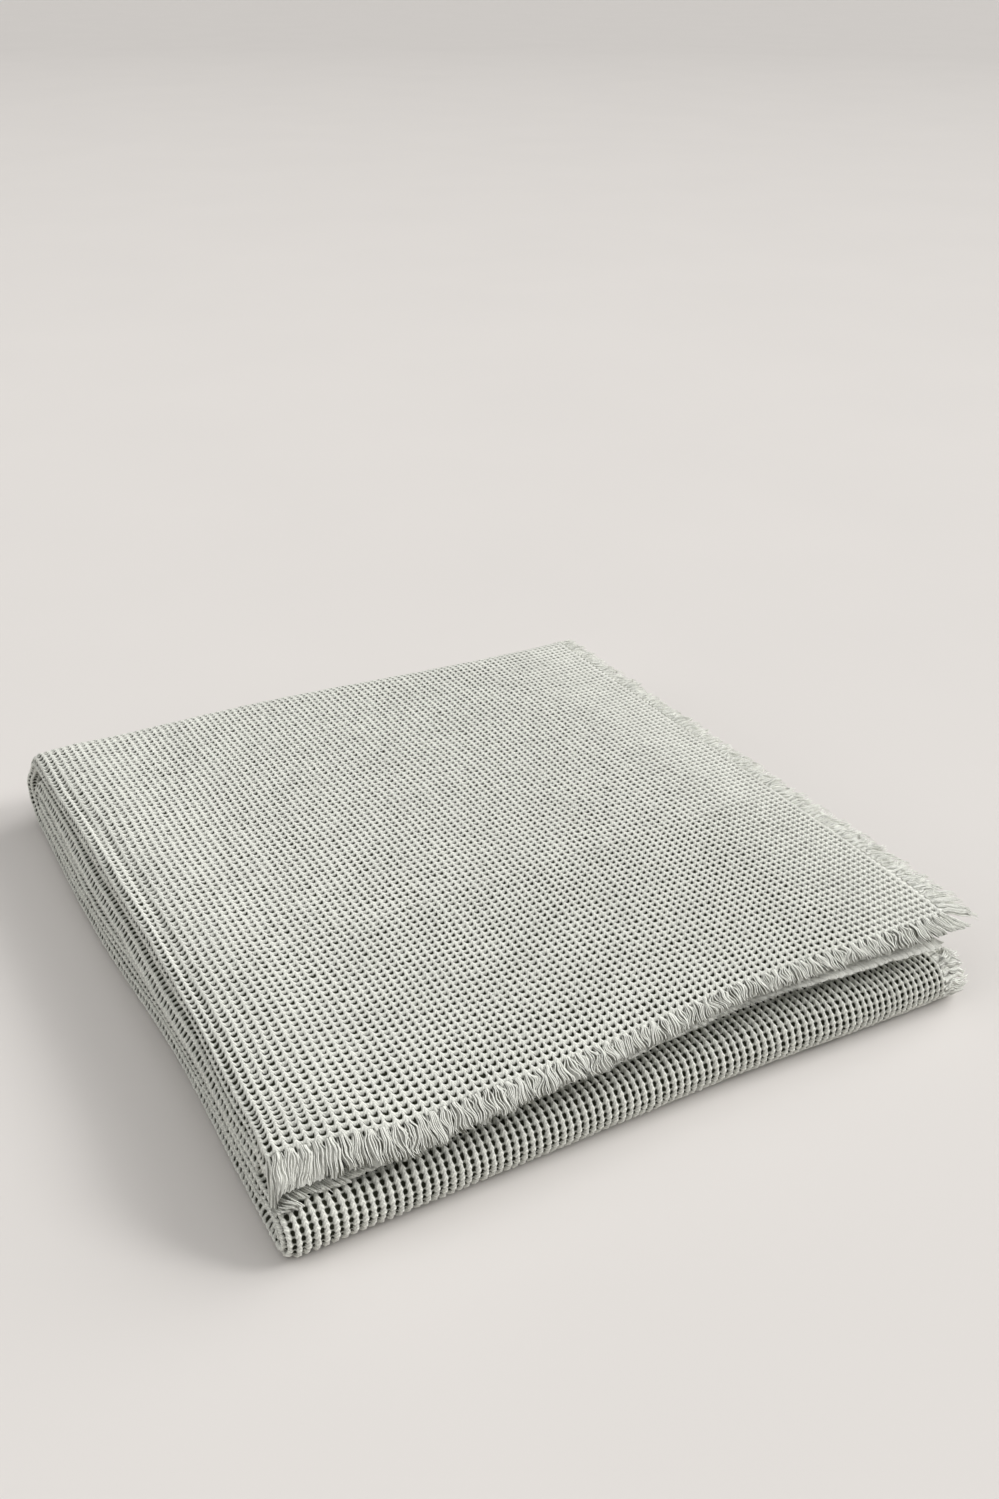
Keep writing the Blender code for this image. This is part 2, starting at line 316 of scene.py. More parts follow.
def creases(x, y):
    """How much higher the creases of the top leaf make it."""
    rise = np.zeros_like(x)
    for crease in CREASES:
        heading = math.radians(crease.heading)
        along = (x - crease.x) * math.cos(heading) + (y - crease.y) * math.sin(heading)
        off = (y - crease.y) * math.cos(heading) - (x - crease.x) * math.sin(heading)
        rise += crease.height * np.exp(-(along / crease.length) ** 4 - (off / crease.width) ** 2)
    return rise


def settle(x, y, z, level):
    """Move points of the squarely folded stack to where the soft stack has settled.

    level is the height that a point's cloth has in the square stack, also where its fringe hangs.
    """
    top_leaf = smooth(LEAF_2 + LAYER_STEP, LEAF_1 - LAYER_STEP, level)
    edge = front_edge(x)
    past = spans_past(y)
    ahead = -edge.forward * smooth(0.0, 1.0, past) * top_leaf
    droop = edge.droop * droop_share(past) * top_leaf
    skew = BACK_SKEW * smooth(*SKEW_Y, y) * smooth(SKEW_FROM_X, RIGHT_X, x)
    drawn = (LEFT_DRAWN_IN * smooth(*DRAWN_Y, y) * smooth(0.0, LEFT_X, x)
             * smooth(LEAF_1, LEAF_2, level))
    held = CORNER_HELD * smooth(CORNER_X, LEFT_X, x) * smooth(*CORNER_Y, y)
    lean = (RIGHT_LEAN - held) * smooth(LEAF_3 + LEAF_HALF, LEAF_1, level)
    off_most = np.abs(y - LOW_LEFT_Y[0])
    drawn = drawn + (LOW_LEFT_IN * smooth(LOW_LEFT_Y[1], 0.0, off_most) * smooth(LOW_LEFT_X, LEFT_X, x)
                     * smooth(LEAF_2, LEAF_3, level))
    off_pocket = ((y - POCKET_Y[0]) / POCKET_Y[1]) ** 2 + ((z - POCKET_Z[0]) / POCKET_Z[1]) ** 2
    drawn = drawn + POCKET_DEPTH * np.exp(-off_pocket) * smooth(LEFT_X + POCKET_X, LEFT_X, x)
    rise = creases(x, y) * smooth(LEAF_2 + LAYER_STEP, LEAF_1, level)
    slid = (FRONT_OUT * smooth(*FRONT_OUT_X, x) * smooth(*FRONT_OUT_Y, y)
            * smooth(LEAF_2 - LAYER_STEP, LEAF_3 + LAYER_STEP, level))
    settled = np.maximum(z - droop + rise, FLOOR_GAP)
    return np.stack([x + lean + drawn, y + ahead - skew - slid, settled], axis=-1)


def low_layers_rest(x, y, height):
    """How far the low layers of the top leaf sag past the end of the second leaf."""
    share = (smooth(*REST_X, x) * smooth(SECOND_END_Y, SECOND_END_Y - REST_RUN, y)
             * smooth(LAYER_STEP, -LAYER_STEP, height))
    droop = front_edge(x).droop * droop_share(spans_past(y))
    return share * (2 * (LEAF_STEP - LEAF_HALF) - REST_GAP - droop)


def place(across, down, lift):
    """Where places in the flat cloth come to lie. Negative distances are in the fringe."""
    across, down, lift = np.broadcast_arrays(across, down, lift)
    x, height, side_x, side_height = ACROSS.at(across)
    x = x - lift * side_x
    height = height - lift * side_height
    y, z, side_y, side_z = ALONG.at(np.maximum(down, 0.0))
    y = y + height * side_y
    z = z + height * side_z
    level = z.copy()
    z = z - low_layers_rest(x, y, height) * smooth(LEAF_2 + LAYER_STEP, LEAF_1 - LAYER_STEP, level)
    out = np.maximum(-down, 0.0)
    edge = front_edge(x)
    share = smooth(-LAYER_STEP, 0.0, height)
    hang = np.radians(edge.low_hang + (edge.hang - edge.low_hang) * share)
    angle = np.minimum(out / HANG_RADIUS, hang)
    beyond = out - HANG_RADIUS * angle
    y = y - HANG_RADIUS * np.sin(angle) - beyond * np.cos(angle)
    z = z - HANG_RADIUS * (1 - np.cos(angle)) - beyond * np.sin(angle)
    return settle(x, y, z, level)


# -------- materials

CLOTH_COLOUR = (0.825, 0.835, 0.775)
# Painted shade of the weave's pits and valleys
WEAVE_SHADE_COLOUR = (0.030, 0.032, 0.018)
FRINGE_COLOUR = (0.90, 0.91, 0.85)
# Painted shade of the fringe's grooves, roots and lock sides
FRINGE_SHADE_COLOUR = (0.10, 0.10, 0.08)

# Colours of the weave, mostly painted shade in its valleys and pits. Places are shares of a cell, from the
# middle of a wale or of a bar
COLOUR_STRAY = 0.10  # how far the colours stray from the weave
VALLEY_WALES = (0.08, 0.36)  # from where the painted shade between two wales sets in, to where it is whole
VALLEY_DARK = (0.28, 0.38)  # how dark that is, and how much darker where the weave is pulled open
VALLEY_BARS = (0.02, 0.30)  # from where it is least on a bar, to where it is most
VALLEY_SHARES = (0.50, 1.12)  # and how much of it there is there
PIT_WALES = (0.19, 0.28)  # the same for the painted shade in a pit
PIT_BARS = (0.22, 0.32)
PIT_DARK = 0.82
PIT_CHANCE = (0.88, 1.0)  # the shares of it that chance leaves
PIT_CLOSED = 0.45  # and the share left where the weave is wholly closed up
PIT_LONGER = 0.08  # how much longer a pit is where the weave is pulled open
PIT_NARROWER = 0.068  # and how much narrower
CLOSED_LONGER = 1.5  # how many times as much where the weave is closed up
TWIST = (16.0, 4 * math.pi)  # of the yarns, in radians a wale and a row
TWIST_SHARE = 0.13  # against their fuzz
NOISE_RANGE = (0.3, 0.7)  # where most values of a noise lie
YARN_TONES = (0.80, 1.16)
PATCH_TONES = (0.97, 1.03)  # of slow patches, all over the cloth
BAR_RANGE = (0.10, 0.45)  # from the painted highlight on a bar to the painted shade between two
BAR_HIGHLIGHT_SHADE = (1.03, 0.90)
FUZZ_TONES = (0.92, 1.08)  # of the fringe
GROOVES = (0.50, 0.37)  # from none to all of a groove's painted shade, by the fringe's streaks
GROOVE_DARK = 0.50
WEAVE_BUMP = 0.0006
FRINGE_BUMP = 0.0008


class Shading:
    """The nodes of a matt material. All calls but the set ones give an output to link on from."""

    def __init__(self, name, roughness=0.93, specular=0.15, sheen=0.10):
        self.material = bpy.data.materials.new(name)
        self.material.use_nodes = True
        self.tree = self.material.node_tree
        self.shader = self.tree.nodes["Principled BSDF"]
        for socket, value in (("Roughness", roughness), ("Specular IOR Level", specular),
                              ("Sheen Weight", sheen), ("Sheen Roughness", 0.6)):
            self.shader.inputs[socket].default_value = value

    def add(self, kind, inputs, output=0, **settings):
        node = self.tree.nodes.new("ShaderNode" + kind)
        for setting, value in settings.items():
            setattr(node, setting, value)
        for socket, value in inputs.items():
            if isinstance(value, bpy.types.NodeSocket):
                self.tree.links.new(value, node.inputs[socket])
            else:
                node.inputs[socket].default_value = value
        return node.outputs[output]

    def math(self, operation, *values):
        return self.add("Math", dict(enumerate(values)), operation=operation)

    def places(self, layer):
        return self.add("UVMap", {}, uv_map=layer)

    def noise(self, vector, across, down, detail=2.0, output="Fac"):
        sized = self.add("Mapping", {"Vector": vector, "Scale": (across, down, 1.0)})
        return self.add("TexNoise", {"Vector": sized, "Scale": 1.0, "Detail": detail}, output)

    def ramp(self, value, low, high, start=0.0, end=1.0, curve="SMOOTHSTEP"):
        return self.add("MapRange", {"Value": value, "From Min": low, "From Max": high,
                                     "To Min": start, "To Max": end}, interpolation_type=curve)

    def mix(self, share, first, second):
        return self.add("Mix", {"Factor": share, "A": (*first, 1), "B": (*second, 1)}, "Result",
                        data_type="RGBA")

    def set_colour(self, colour, share):
        """Set the colour, scaled by share."""
        scaled = self.add("VectorMath", {0: colour, "Scale": share}, operation="SCALE")
        self.tree.links.new(scaled, self.shader.inputs["Base Color"])

    def set_bump(self, height, distance):
        """Set the bump of height, of which 1 stands for a distance in metres."""
        bump = self.add("Bump", {"Strength": 0.6, "Distance": distance, "Height": height}, "Normal")
        self.tree.links.new(bump, self.shader.inputs["Normal"])


def waffle_cotton():
    """Cotton in a waffle weave: twisted yarns, with painted shade that makes bars a little darker and pits
    near black, and painted highlights along the bars.
    """
    nodes = Shading("waffle_cotton")
    cells, flat = nodes.places("cells"), nodes.places("cloth")
    stray = nodes.noise(cells, 1.1, 1.1, 1.0, "Color")
    warp = nodes.add("VectorMath", {0: stray, 1: (2 * COLOUR_STRAY, 2 * COLOUR_STRAY, 0.0),
                                    2: (-COLOUR_STRAY, -COLOUR_STRAY, 0.0)}, operation="MULTIPLY_ADD")
    moved = nodes.add("VectorMath", {0: cells, 1: warp}, operation="ADD")
    wale = nodes.add("SeparateXYZ", {0: moved}, "X")
    row = nodes.add("SeparateXYZ", {0: moved}, "Y")
    wave = nodes.math("COSINE", nodes.math("MULTIPLY", row, 2 * math.pi))
    off_wale = nodes.math("ABSOLUTE", nodes.math("SUBTRACT", nodes.math("FRACT", wale), 0.5))
    off_wale = nodes.math("MULTIPLY_ADD", wave, WALE_SCALLOP, off_wale)
    off_row = nodes.math("ABSOLUTE", nodes.math("SUBTRACT", nodes.math("FRACT", row), 0.5))
    stretch = nodes.add("Attribute", {}, "Fac", attribute_name="shade")
    drawn_long = nodes.math("MAXIMUM", stretch, nodes.math("MULTIPLY", stretch, -CLOSED_LONGER))
    taller = nodes.math("MULTIPLY_ADD", drawn_long, PIT_LONGER, off_row)
    narrower = nodes.math("MULTIPLY_ADD", drawn_long, -PIT_NARROWER, off_wale)
    # Painted shade: near black in the pits, lighter in the valleys between wales and on the bars
    pit_shade = nodes.math("MULTIPLY", nodes.ramp(narrower, *PIT_WALES), nodes.ramp(taller, *PIT_BARS))
    pit_shade = nodes.math("MULTIPLY", pit_shade, nodes.ramp(stretch, -1.0, 0.0, PIT_CLOSED, 1.0))
    whole = nodes.add("VectorMath", {0: nodes.add("VectorMath", {0: cells, 1: (0.5, 0.5, 0)})},
                      operation="FLOOR")
    chance = nodes.add("TexWhiteNoise", {"Vector": whole}, noise_dimensions="2D")
    pit_shade = nodes.math("MULTIPLY", pit_shade, nodes.ramp(chance, 0.0, 1.0, *PIT_CHANCE))
    painted_darkness = nodes.math("MULTIPLY_ADD", stretch, VALLEY_DARK[1], VALLEY_DARK[0])
    valley_shade = nodes.math("MULTIPLY", nodes.ramp(narrower, *VALLEY_WALES), painted_darkness)
    valley_shade = nodes.math("MULTIPLY", valley_shade, nodes.ramp(taller, *VALLEY_BARS, *VALLEY_SHARES))
    painted_shade = nodes.math("MULTIPLY_ADD", pit_shade, PIT_DARK, valley_shade)
    colour = nodes.mix(painted_shade, CLOTH_COLOUR, WEAVE_SHADE_COLOUR)
    twist = nodes.math("MULTIPLY_ADD", off_wale, TWIST[0], nodes.math("MULTIPLY", row, TWIST[1]))
    twist = nodes.math("SINE", twist)
    yarn = nodes.math("MULTIPLY_ADD", twist, TWIST_SHARE, nodes.noise(flat, 1500.0, 1500.0, 3.0))
    patch = nodes.noise(flat, 28.0, 28.0)
    share = nodes.math("MULTIPLY", nodes.ramp(yarn, *NOISE_RANGE, *YARN_TONES),
                       nodes.ramp(patch, *NOISE_RANGE, *PATCH_TONES))
    # Painted highlight along the bars, painted shade between them
    share = nodes.math("MULTIPLY", share, nodes.ramp(off_row, *BAR_RANGE, *BAR_HIGHLIGHT_SHADE))
    nodes.set_colour(colour, share)
    nodes.set_bump(yarn, WEAVE_BUMP)
    return nodes.material


def fringe_cotton():
    """Combed yarn ends: fine lighter and darker streaks along the fringe, with painted shade in its grooves
    and at its roots.
    """
    nodes = Shading("fringe_cotton")
    flat = nodes.places("cloth")
    streak = nodes.noise(flat, 900.0, 90.0, 2.5)
    fuzz = nodes.noise(flat, 3500.0, 1500.0)
    shade = nodes.add("Attribute", {}, "Fac", attribute_name="shade")
    groove_shade = nodes.ramp(streak, *GROOVES)
    painted_shade = nodes.math("MULTIPLY_ADD", groove_shade, GROOVE_DARK, shade)
    colour = nodes.mix(painted_shade, FRINGE_COLOUR, FRINGE_SHADE_COLOUR)
    nodes.set_colour(colour, nodes.ramp(fuzz, *NOISE_RANGE, *FUZZ_TONES))
    nodes.set_bump(streak, FRINGE_BUMP)
    return nodes.material


# -------- mesh helpers

def mesh_piece(name, points, faces, places, shade, material):
    """A piece of the object from arrays. places holds a pair of numbers a point for each UV layer.

    shade is read by the material: how much painted shade the fringe gets, or how far the weave is stretched,
    which sets the painted shade of its pits and valleys.
    """
    mesh = bpy.data.meshes.new(name)
    mesh.from_pydata(points.reshape(-1, 3).tolist(), [], faces.reshape(-1, faces.shape[-1]).tolist())
    corners = np.empty(len(mesh.loops), np.int32)
    mesh.loops.foreach_get("vertex_index", corners)
    flat = places["cloth"].reshape(-1, 2)
    span = np.maximum(np.ptp(flat, axis=0), 1e-6)
    for layer_name, pairs in {"OFBake": (flat - flat.min(axis=0)) / span, **places}.items():
        layer = mesh.uv_layers.new(name=layer_name)
        layer.data.foreach_set("uv", pairs.reshape(-1, 2)[corners].astype(np.float32).ravel())
    shades = mesh.attributes.new("shade", "FLOAT", "POINT")
    shades.data.foreach_set("value", np.broadcast_to(shade, points.shape[:-1]).astype(np.float32).ravel())
    mesh.shade_smooth()
    mesh.materials.append(material)
    blanket_piece = bpy.data.objects.new(name, mesh)
    bpy.context.scene.collection.objects.link(blanket_piece)
    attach(blanket_piece, "root")
    return blanket_piece


def grid_faces(down_count, across_count):
    """Quads of a grid whose points run down first and then across, facing the side that shows."""
    index = np.arange(down_count * across_count).reshape(down_count, across_count)
    return np.stack([index[:-1, :-1], index[1:, :-1], index[1:, 1:], index[:-1, 1:]], axis=-1)


# -------- weave

def wander(across, down):
    """How far the weave has shifted in its own plane, across and down, in slow uneven waves."""
    shift_across = (SHIFT_ACROSS * np.sin(down / 0.061 + 0.7) * np.sin(across / 0.047 + 1.9)
                    + SHIFT_SHORT * np.sin(down / 0.023 + across / 0.071))
    shift_down = (SHIFT_DOWN * np.sin(across / 0.055 + 0.4) * np.sin(down / 0.083 + 2.6)
                  + SHIFT_SHORT * np.sin(across / 0.019 + down / 0.058 + 1.1))
    return shift_across, shift_down


def divisions(span, lines, spread):
    """Where a skin is divided over a span of cells: each line's cell and its place in that cell.

    lines are places from the middle of a cell, spread wide. The two ends of the span are lines too.
    """
    cells = np.arange(math.floor(span[0]), math.ceil(span[1]))
    cell = np.repeat(cells, len(lines))
    line = np.tile(lines, len(cells)).astype(float)
    place_in_row = cell + 0.5 + line * spread
    inside = (place_in_row > span[0] + EDGE_CLEAR) & (place_in_row < span[1] - EDGE_CLEAR)
    ends = np.array([cells[0], cells[-1]])
    end_lines = (np.array(span) - ends - 0.5) / spread
    cell = np.concatenate([ends[:1], cell[inside], ends[1:]])
    return cell, np.concatenate([end_lines[:1], line[inside], end_lines[1:]])


def uneven_cells(number, spread):
    """A table of chance values, one for each crossing of a wale and a bar."""
    return np.random.default_rng([WEAVE_SEED, number]).normal(0, spread, TABLE_SIZE)


def between_cells(table, wale, row):
    """A table's values at places in the weave, even steps between the middles of its cells."""
    wale = np.clip(wale - 0.5, 0, TABLE_SIZE[0] - 1.001)
    row = np.clip(row - 0.5, 0, TABLE_SIZE[1] - 1.001)
    low_wale, low_row = wale.astype(int), row.astype(int)
    past_wale, past_row = wale - low_wale, row - low_row
    return ((table[low_wale, low_row] * (1 - past_row) + table[low_wale, low_row + 1] * past_row)
            * (1 - past_wale)
            + (table[low_wale + 1, low_row] * (1 - past_row)
               + table[low_wale + 1, low_row + 1] * past_row) * past_wale)


def weave_height(off_wale, off_row, stretch):
    """The weave's height, 0 in a pit and 1 on a crest, by half wales and by rows from a crossing."""
    wave = np.cos(2 * np.pi * off_row)
    rope = np.interp(np.abs(off_wale), *WALE_PROFILE) * (1 - WALE_DIP * (1 - wave) / 2)
    opened, closed = np.maximum(stretch, 0.0), np.maximum(-stretch, 0.0)
    bar = BAR_HEIGHT * (1 - BAR_SINK * opened)
    off_bar = np.abs(off_row) * (1 + BAR_THINNED * opened)
    height = np.maximum(rope, bar * np.interp(off_bar, *BAR_PROFILE))
    return 1 - (1 - height) * (1 - CLOSED_SHALLOWER * closed)


def stretched(wale, row):
    """How far the weave is pulled open around the left and front folds, and, below 0, closed by its edge;
    the material paints more shade in its pits and valleys where it is open, and less where it is closed.
    """
    left, left_end = ACROSS.cells_to("left fold"), ACROSS.cells_to("lower")
    front, front_end = ALONG.cells_to("front fold"), ALONG.cells_to("leaf 3")
    around_left = smooth(left - PAST_FOLD, left + 1, wale) * smooth(left_end + PAST_FOLD, left_end, wale)
    around_front = (smooth(front - PAST_FOLD, front + 1, row)
                    * smooth(front_end + PAST_FRONT, front_end + 1, row))
    opened = np.interp(wale, (0, left), FRONT_OPEN) * around_front
    closed = EDGE_CLOSED * smooth(*EDGE_CLOSED_WALES, wale) * (1 - (1 - FRONT_SHARE) * around_front)
    return np.maximum(LEFT_OPEN * around_left, opened) - closed


def cloth_places(across, down, wale_cells, row_cells):
    """The places of a grid of points in the cloth, for its two UV layers."""
    return {"cloth": np.stack([across, down], axis=-1),
            "cells": np.stack([wale_cells, row_cells], axis=-1)}


def weave(name, wales, rows, detail, material):
    """The raised face of the cloth over a range of wales and of rows, counted from the raw corner."""
    wale, wale_line = divisions(wales, detail.wale_lines, WALE_HALF)
    row, row_line = divisions(rows, detail.row_lines, 1.0)
    half = WALE_HALF + WALE_SCALLOP * np.cos(2 * np.pi * row_line)[:, None]
    wale_cells = wale + 0.5 + wale_line * half
    wale_cells[:, 0], wale_cells[:, -1] = wales
    row_cells = np.broadcast_to((row + 0.5 + row_line)[:, None], wale_cells.shape)
    stretch = stretched(wale_cells, row_cells)
    height = weave_height((wale_cells - wale - 0.5) / half, row_line[:, None], stretch)
    height = height * (1 + between_cells(uneven_cells(0, CROSSING_SWELL), wale_cells, row_cells))

    shifts = []
    for number, own in enumerate((wale_cells, row_cells)):
        chance = np.random.default_rng([WEAVE_SEED, LINES_SEED + number])
        line = chance.normal(0, LINE_SHIFT, max(TABLE_SIZE))
        shifts.append(np.interp(own - 0.5, np.arange(len(line)), line)
                      + between_cells(uneven_cells(1 + number, CROSSING_SHIFT), wale_cells, row_cells))
    across = ACROSS.of_cells(wale_cells + shifts[0])
    down = ALONG.of_cells(row_cells + shifts[1] + BAR_SAG * np.cos(2 * np.pi * (wale_cells - 0.5)))
    shift_across, shift_down = wander(across, down)
    across = np.maximum(across + shift_across, 0.0)
    down = np.maximum(down + shift_down, 0.0)
    lift = LAYER / 2 - RELIEF * (1 - height)
    first, last, side = rows[0] == 0, rows[1] == ALONG.cells[-1], wales[0] == EDGE_CELL
    if first:
        down[0] = 0.0
    if side:
        across[:, 0] = 0.0
    across, down, lift, wale_cells, row_cells, stretch = (
        np.pad(grid, ((int(first), int(last)), (int(side), 0)), "edge")
        for grid in (across, down, lift, wale_cells, row_cells, stretch))
    if first:
        lift[0] = SHEET_LIFT
    if last:
        lift[-1] = SHEET_LIFT
    if side:
        lift[:, 0] = SHEET_LIFT
    return mesh_piece(name, place(across, down, lift), grid_faces(*lift.shape),
                      cloth_places(across, down, wale_cells, row_cells), stretch, material)


def sheet_lines(route, in_all, in_turn):
    """Where the thin sheet is divided along a route, evenly and again in its turns."""
    return np.unique(np.concatenate([
        np.linspace(0, route.cells[-1], in_all), *[np.linspace(*turn, in_turn) for turn in route.turns()]]))


def thin_sheet(material):
    """The whole cloth as one thin sheet in all its folds, under the raised weave."""
    wale_cells, row_cells = np.meshgrid(sheet_lines(ACROSS, *SHEET_WALES), sheet_lines(ALONG, *SHEET_ROWS))
    across, down = ACROSS.of_cells(wale_cells), ALONG.of_cells(row_cells)
    sheet = mesh_piece("cloth_sheet", place(across, down, SHEET_LIFT), grid_faces(*across.shape),
                       cloth_places(across, down, wale_cells, row_cells), stretched(wale_cells, row_cells),
                       material)
    thicken = sheet.modifiers.new("thickness", "SOLIDIFY")
    thicken.thickness = SHEET_THICKNESS
    thicken.offset = 0.0
    return sheet


# -------- fringe

# first and last are distances along the edge, columns and strands those of one lock, droop is how far the
# ends sag, dark how much painted shade its grooves get, pale how much less painted shade all of it gets,
# wild how wavy
FringeRow = namedtuple("FringeRow",
                       "piece node side first last pitch columns strands reach droop dark pale wild")

# How far whole groups of locks go, in waves between the two lengths
Sway = namedtuple("Sway", "size shortest longest")
SWEEP = Sway(0.0018, 0.016, 0.09)  # aside
CURL = Sway(0.0015, 0.014, 0.06)  # bowed
HEAVE = Sway(0.0004, 0.012, 0.05)  # off the cloth
WAVE_COUNT = 5
WAVE_SUM = 1.6  # how large so many waves are together
CURL_TURN = 1.7 * math.pi  # of a bow, over a lock's length
BEND = 1.3  # powers of the share of its length, by which a lock goes aside
LEAN_BEND = 1.5

# Of a lock: spreads are those of its chance, and runs are shares of its length
ROOT_SPREAD = 0.55  # how wide it is where it leaves the cloth, against further out
SPREAD_BY = 0.35  # and where it has its full width
LENGTH_SPREAD = 0.06
LENGTH_RANGE = (0.8, 1.15)  # the shares of its row's reach that it stays between
LEAN_SPREAD = 0.0006
RISE_SPREAD = 0.0005
PHASE_SPREAD = 0.9  # radians, from each lock to the next
WAVE_SIZES = (0.0004, 0.0011)
WAVE_LENGTHS = (0.0085, 0.0130)
WAVES_BY = 0.3  # where the waves are whole
WAVE_SLANT = 90  # radians a metre, across a lock
WAVE_OFF = (0.5, 0.8)  # size and quickness of the waves off the cloth, against those along it
GATHERS = (0.08, 0.36)  # how much narrower it gets towards its end
GATHER_RUN = (0.3, 0.9)

CORNER_FAN = 0.010  # how far the last locks splay out past the raw corner
CORNER_RUN = 0.030  # and from how far along the edge
LEFT_FAN = 0.006  # how far the locks at the left fold lean to the left
LEFT_FAN_RUN = (0.435, 0.475)  # from none to all, along the front edge
LEFT_FLARE = 0.004  # and how far those right around it stand out
FLARE_MIDDLE = 0.488
FLARE_REACH = 0.012
CALM = 0.6  # how much straighter the locks at the fold and the corner are, and how much less painted shade they get

# A lock is a band with strands on it. half, arch_half and the sides are shares of its width, ragged of its
# length. The last three say how much painted shade it gets, how much more at its root, and again at the
# root's two sides
Yarns = namedtuple("Yarns",
                   "half ragged root arch arch_half raised side_from side_to dark at_root at_corner")
BAND = Yarns(0.58, 0.04, 0.0012, 0.0013, 0.62, -0.0003, 0.30, 0.58, 0.95, 0.20, 0.5)
STRAND = Yarns(0.60, 0.05, 0.0008, 0.0017, 0.75, 0.0002, 0.35, 0.62, -0.40, 0.10, 0.9)
SIDE_DARK = 0.40  # and how much more painted shade all along the lock's sides
ROOT_FADE = (0.0035, -0.001)  # from none to all of the painted shade at the roots
LOCK_RINGS = 9
SIDE_BAND = 0.75  # how long a side band is, of its lock
RIB_HEIGHTS = (-0.0006, 0.0004)  # in a band's odd columns and in its even ones
RIB_RANGE = (0.5, 1.3)
CUT_FROM = 0.93  # of its length, where a band starts to thin out
UNDER = (0.9, 0.0004)  # how deep a band is below, of its arch, and how much deeper

STRAND_SIDES = 3
STRAND_RADIUS = 0.00046
RADIUS_RANGE = (0.80, 1.15)
STRAND_PLACE = 0.05  # how far a strand is off its place, of the lock's width
STRAND_STRAY = 0.0004  # and how far its end strays
STRAND_LIFT = 0.4  # how much of that it also lifts
STRAND_CHANCE = 0.25  # how much darker single strands are
STRAND_SHARES = (0.0, 0.12, 0.26, 0.40, 0.54, 0.68, 0.82, 0.975, 1.0)
STRAND_WIDTHS = (1.0, 1.0, 1.0, 0.95, 0.9, 0.8, 0.7, 0.5, 0.0)


def waves(place_along, seed, sway):
    """Smooth chance along an edge, about 1 in size, of waves between the sway's two lengths."""
    chance = np.random.default_rng([STRANDS_SEED, seed])
    total = 0.0
    for length in np.geomspace(sway.shortest, sway.longest, WAVE_COUNT):
        total = total + np.sin(2 * np.pi * place_along / length + chance.uniform(0, 2 * np.pi))
    return total / WAVE_SUM


def arched(yarns, across):
    """How high the yarns lie at places across their lock."""
    return yarns.arch * (1 - (across / yarns.arch_half) ** 2) + yarns.raised


def painted_darkness(yarns, across, out):
    """The painted shade of the yarns at places across their lock and out past the edge."""
    by_side = smooth(yarns.side_from, yarns.side_to, np.abs(across))
    at_root = smooth(*ROOT_FADE, out)
    return yarns.dark + at_root * (yarns.at_root + yarns.at_corner * by_side) + SIDE_DARK * by_side


class Locks:
    """The wavy locks of one row of fringe, in places along its edge, out past it and off the cloth."""

    def __init__(self, row):
        self.row = row
        self.seed = int(row.first * 1e5) + row.side
        self.chance = chance = np.random.default_rng([STRANDS_SEED, self.seed])
        self.count = count = max(2, round((row.last - row.first) / row.pitch))
        self.width = (row.last - row.first) / count
        self.centre = row.first + (np.arange(count) + 0.5) * self.width
        reach = np.interp(self.centre, *zip(*row.reach))
        self.length = reach * np.clip(1 + LENGTH_SPREAD * chance.normal(0, 1, count), *LENGTH_RANGE)
        self.lean = chance.normal(0, LEAN_SPREAD, count)
        self.phase = np.cumsum(chance.normal(0, PHASE_SPREAD, count))
        by_left = smooth(*LEFT_FAN_RUN, self.centre) * (not row.side)
        calm = CALM * (by_left + smooth(CORNER_RUN, 0.0, self.centre))
        self.wild = row.wild * (1 - calm)
        self.dark = row.dark * (1 - calm)
        self.wave = self.wild * chance.uniform(*WAVE_SIZES, count)
        self.wave_length = chance.uniform(*WAVE_LENGTHS, count)
        self.gather = self.wild * chance.uniform(*GATHERS, count)
        self.rise = self.wild * chance.normal(0, RISE_SPREAD, count)

    def path(self, lock, within, out, high):
        """Along the edge and off the cloth, for a yarn so far within its lock and above its middle."""
        share = np.maximum(out, 0) / self.length[lock]
        start = smooth(0.0, WAVES_BY, share)
        turn = 2 * np.pi * out / self.wave_length[lock] + self.phase[lock]
        centre = self.centre[lock]
        root = centre + within
        wild = self.wild[lock]
        sweep = SWEEP.size * wild * waves(root, self.seed + 1, SWEEP) * share ** BEND
        curl = CURL.size * wild * waves(root, self.seed + 2, CURL) * np.sin(CURL_TURN * share) * start
        rise = self.rise[lock] + HEAVE.size * wild * waves(root, self.seed + 3, HEAVE)
        spread = ROOT_SPREAD + (1 - ROOT_SPREAD) * smooth(0.0, SPREAD_BY, share)
        spread = spread - self.gather[lock] * smooth(*GATHER_RUN, share)
        fan = CORNER_FAN * smooth(CORNER_RUN, 0.0, centre) * share ** BEND
        flare = 0.0
        if not self.row.side:
            fan = fan - LEFT_FAN * smooth(*LEFT_FAN_RUN, centre) * share ** BEND
            flare = LEFT_FLARE * smooth(FLARE_REACH, 0.0, np.abs(centre - FLARE_MIDDLE)) * share
        run = (centre + within * spread - fan + self.lean[lock] * share ** LEAN_BEND
               + sweep + curl + self.wave[lock] * np.sin(turn + WAVE_SLANT * within) * start)
        off = (high + flare + rise * share
               + WAVE_OFF[0] * self.wave[lock] * np.cos(WAVE_OFF[1] * turn) * start)
        return run, off

    def points(self, run, out, off):
        """Where the yarns come to lie. Those of the side also sag."""
        if not self.row.side:
            return place(run, -out, off)
        points = place(-out, run, off)
        points[..., 2] -= self.row.droop * (np.maximum(out, 0) / FRINGE) ** 2
        points[..., 2] = np.maximum(points[..., 2], FRINGE_GAP)
        return points


def ring_faces(index):
    """Quads around each row of rings, whose points run around in the last of three axes."""
    after = np.roll(index, -1, axis=2)
    walls = np.stack([index[:, :-1], after[:, :-1], after[:, 1:], index[:, 1:]], axis=-1)
    return walls.reshape(-1, 4)


